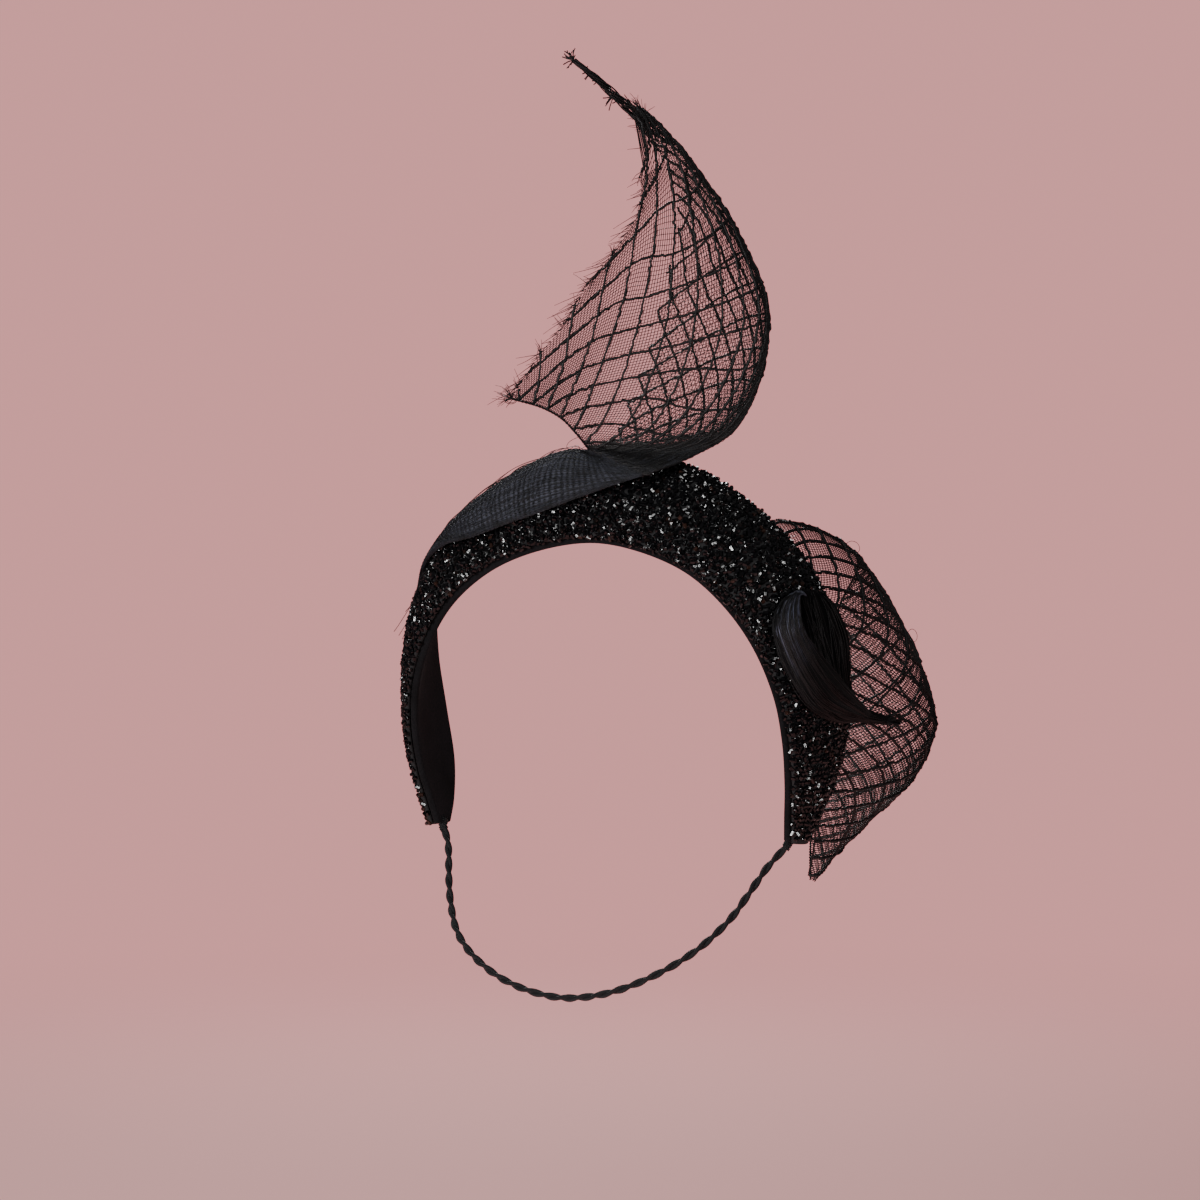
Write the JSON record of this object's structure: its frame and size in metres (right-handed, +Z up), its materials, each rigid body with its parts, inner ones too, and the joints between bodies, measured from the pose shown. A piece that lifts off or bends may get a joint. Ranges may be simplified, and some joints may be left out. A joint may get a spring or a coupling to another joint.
{
  "type": "headband fascinator",
  "caption": "Worn halo headband with a beaded face, a rolled net strip that rises into a tall curled sail, a puffed net loop with a knot, and a chin elastic.",
  "frame": {"origin": "top of the head that wears it, on the mid plane under the halo's crown, level with the front edge of the halo's inner face", "axes": "+Z up, -Y the way the wearer faces, +X to the wearer's left, where the puff and the knot are"},
  "size_m": [0.1991, 0.1449, 0.3579],
  "materials": {
    "lining": "black velvet over buckram and wadding",
    "beads": "opaque jet glass, glossy cut seed beads",
    "net": "black nylon crinoline, satin sheen",
    "elastic": "black covered two-ply elastic cord"
  },
  "bodies": {
    "root": {"halo_wall": "lining", "bead_skin": "beads", "swirl": "net", "puff": "net", "rosette": "net", "chin_elastic": "elastic"}
  },
  "joints": []
}
